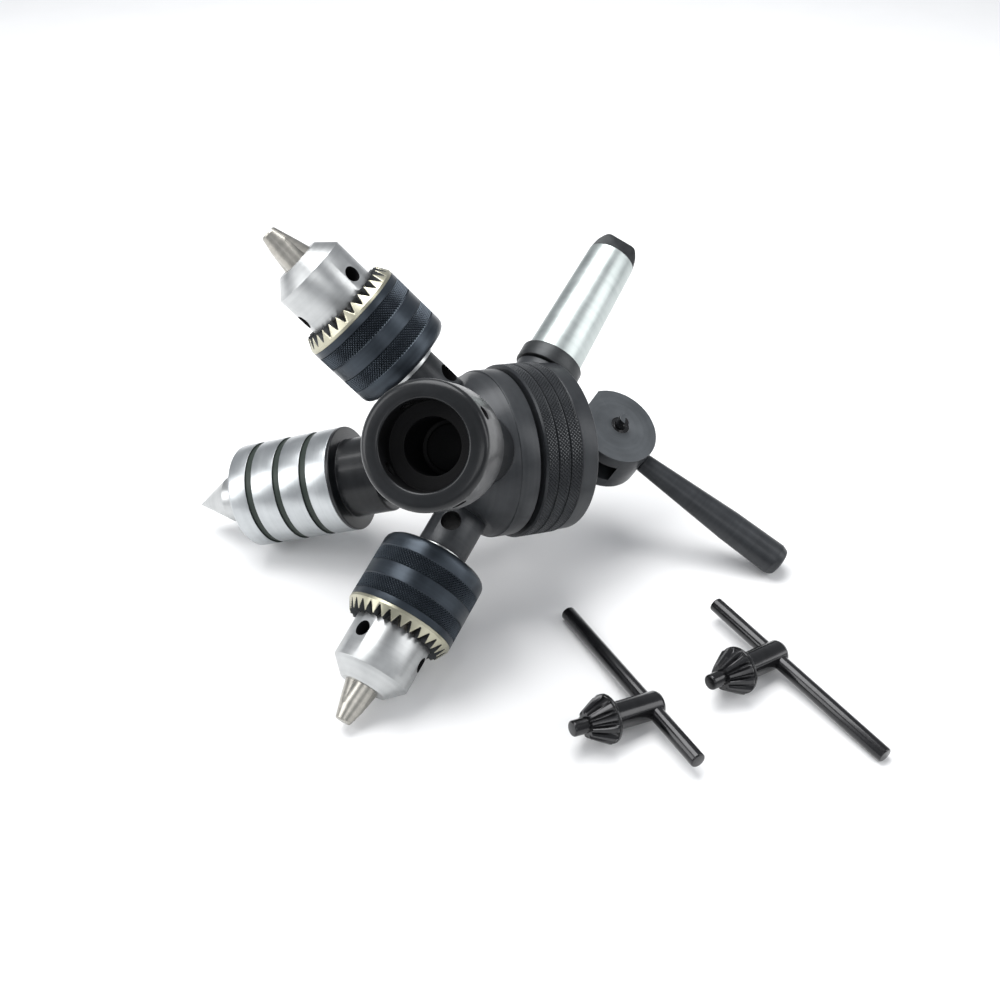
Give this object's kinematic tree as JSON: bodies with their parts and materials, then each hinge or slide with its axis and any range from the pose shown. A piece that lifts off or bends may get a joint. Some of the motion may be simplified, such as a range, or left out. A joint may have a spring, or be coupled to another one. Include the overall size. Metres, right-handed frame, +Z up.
{
  "type": "indexing tailstock turret with drill chucks",
  "caption": "Indexing tailstock turret on a Morse taper shank with keyed drill chucks, a revolving centre and a round-die holder, a cam lock lever, and loose chuck keys.",
  "frame": {"origin": "centre of the whole set's footprint, at bench level, with the turret lying as it rests on a bench and the two keys beside it", "axes": "+Z up from the bench, +X along the longest side of the layout from the revolving centre towards the keys, +Y away from the keys; the turret's own axis slopes back and down from the chucks to the cam lever"},
  "size_m": [0.2726, 0.2072, 0.1456],
  "materials": {
    "black_oxide": "satin black oxide",
    "satin_black": "dull black oxide",
    "ground_steel": "turned and ground",
    "blued_steel": "satin blued, knurled bands",
    "ring_steel": "cut teeth, pale yellow plating",
    "jaw_steel": "hardened and ground",
    "polished_steel": "polished",
    "shank_steel": "ground taper",
    "dark_steel": "dull dark grey",
    "plain_steel": "machined",
    "bearing_steel": "polished",
    "bronze": "turned bronze",
    "gloss_black": "glossy black oxide"
  },
  "bodies": {
    "base": {"turret_base": "satin_black", "taper_shank": "shank_steel", "shank_collar": "dark_steel", "thrust_ring": "dark_steel", "detent_spring": "plain_steel", "cam_seat": "dark_steel"},
    "clamp_rod": {"draw_rod": "plain_steel", "rod_washer": "plain_steel", "rod_nut": "satin_black"},
    "lock_lever": {"cam_head": "satin_black", "cam_pin": "gloss_black", "lever_handle": "satin_black"},
    "index_head": {"turret_head": "satin_black", "head_bush": "bronze", "adapter_a": "satin_black", "body_a": "ground_steel", "adapter_b": "satin_black", "body_b": "ground_steel", "centre_neck": "black_oxide", "centre_housing": "polished_steel", "centre_cap": "polished_steel", "front_race_out": "bearing_steel", "front_balls": "bearing_steel", "rear_race_out": "bearing_steel", "rear_balls": "bearing_steel", "die_arbor": "black_oxide", "die_cup": "black_oxide", "die_screws": "gloss_black"},
    "live_spindle": {"centre_point": "ground_steel", "front_race_in": "bearing_steel", "rear_race_in": "bearing_steel", "centre_clip": "dark_steel"},
    "key_1": {"key_stem_1": "gloss_black"},
    "key_1_bar": {"key_bar_1": "gloss_black"},
    "key_2": {"key_stem_2": "gloss_black"},
    "key_2_bar": {"key_bar_2": "gloss_black"},
    "chuck_a_ring": {"sleeve_a": "blued_steel", "ring_gear_a": "ring_steel", "split_nut_a": "plain_steel"},
    "chuck_a_jaw_1": {"jaw_a1": "jaw_steel"},
    "chuck_a_jaw_2": {"jaw_a2": "jaw_steel"},
    "chuck_a_jaw_3": {"jaw_a3": "jaw_steel"},
    "chuck_b_ring": {"sleeve_b": "blued_steel", "ring_gear_b": "ring_steel", "split_nut_b": "plain_steel"},
    "chuck_b_jaw_1": {"jaw_b1": "jaw_steel"},
    "chuck_b_jaw_2": {"jaw_b2": "jaw_steel"},
    "chuck_b_jaw_3": {"jaw_b3": "jaw_steel"},
    "detent": {"detent_ball": "bearing_steel"}
  },
  "joints": [
    {"name": "turret_index", "type": "hinge", "parent": "base", "child": "index_head", "pos_m": [-0.00411, 0.01388, 0.05707], "axis": [-0.8691, -0.4471, 0.2117], "continuous": true},
    {"name": "clamp_travel", "type": "slide", "parent": "base", "child": "clamp_rod", "axis": [-0.8691, -0.4471, 0.2117], "range_m": [0, 0.0003]},
    {"name": "detent_travel", "type": "slide", "parent": "base", "child": "detent", "axis": [-0.8691, -0.4471, 0.2117], "range_m": [0, 0.0014]},
    {"name": "cam_lever", "type": "hinge", "parent": "clamp_rod", "child": "lock_lever", "pos_m": [0.04282, 0.03802, 0.04564], "axis": [0.3641, -0.2885, 0.8856], "range_deg": [0, 52]},
    {"name": "chuck_a_sleeve", "type": "hinge", "parent": "index_head", "child": "chuck_a_ring", "pos_m": [-0.05016, 0.0257, 0.10386], "axis": [0.6903, -0.1773, -0.7015], "range_deg": [0, 4680]},
    {"name": "chuck_a_jaw_1_slide", "type": "slide", "parent": "index_head", "child": "chuck_a_jaw_1", "axis": [0.5118, -0.086, -0.8548], "range_m": [0, 0.026]},
    {"name": "chuck_a_jaw_2_slide", "type": "slide", "parent": "index_head", "child": "chuck_a_jaw_2", "axis": [0.6676, -0.4146, -0.6185], "range_m": [0, 0.026]},
    {"name": "chuck_a_jaw_3_slide", "type": "slide", "parent": "index_head", "child": "chuck_a_jaw_3", "axis": [0.8255, -0.0144, -0.5642], "range_m": [0, 0.026]},
    {"name": "chuck_b_sleeve", "type": "hinge", "parent": "index_head", "child": "chuck_b_ring", "pos_m": [-0.03565, -0.03786, 0.02917], "axis": [0.4728, 0.7756, 0.4182], "range_deg": [0, 4680]},
    {"name": "chuck_b_jaw_1_slide", "type": "slide", "parent": "index_head", "child": "chuck_b_jaw_1", "axis": [0.5594, 0.5974, 0.5746], "range_m": [0, 0.026]},
    {"name": "chuck_b_jaw_2_slide", "type": "slide", "parent": "index_head", "child": "chuck_b_jaw_2", "axis": [0.2373, 0.8603, 0.4511], "range_m": [0, 0.026]},
    {"name": "chuck_b_jaw_3_slide", "type": "slide", "parent": "index_head", "child": "chuck_b_jaw_3", "axis": [0.5765, 0.7949, 0.1889], "range_m": [0, 0.026]},
    {"name": "centre_spin", "type": "hinge", "parent": "index_head", "child": "live_spindle", "pos_m": [-0.09738, 0.03032, 0.02496], "axis": [-0.9327, 0.1644, -0.3211], "continuous": true},
    {"name": "key_1_lift", "type": "slide", "parent": "base", "child": "key_1", "axis": [0, 0, 1], "range_m": [0, 0.1]},
    {"name": "key_1_bar_slide", "type": "slide", "parent": "key_1", "child": "key_1_bar", "axis": [-0.4751, 0.8787, -0.0473], "range_m": [-0.0529, 0.0239]},
    {"name": "key_2_lift", "type": "slide", "parent": "base", "child": "key_2", "axis": [0, 0, 1], "range_m": [0, 0.1]},
    {"name": "key_2_bar_slide", "type": "slide", "parent": "key_2", "child": "key_2_bar", "axis": [-0.5697, 0.8204, 0.0492], "range_m": [-0.0262, 0.0506]}
  ],
  "couplings": [
    {"joint": "clamp_travel", "follows": "cam_lever", "m_per_rad": 0.00033055},
    {"joint": "chuck_a_sleeve", "follows": "chuck_a_jaw_1_slide", "rad_per_m": 3141.6},
    {"joint": "chuck_a_jaw_2_slide", "follows": "chuck_a_jaw_1_slide", "ratio": 1},
    {"joint": "chuck_a_jaw_3_slide", "follows": "chuck_a_jaw_1_slide", "ratio": 1},
    {"joint": "chuck_b_sleeve", "follows": "chuck_b_jaw_1_slide", "rad_per_m": 3141.6},
    {"joint": "chuck_b_jaw_2_slide", "follows": "chuck_b_jaw_1_slide", "ratio": 1},
    {"joint": "chuck_b_jaw_3_slide", "follows": "chuck_b_jaw_1_slide", "ratio": 1}
  ]
}
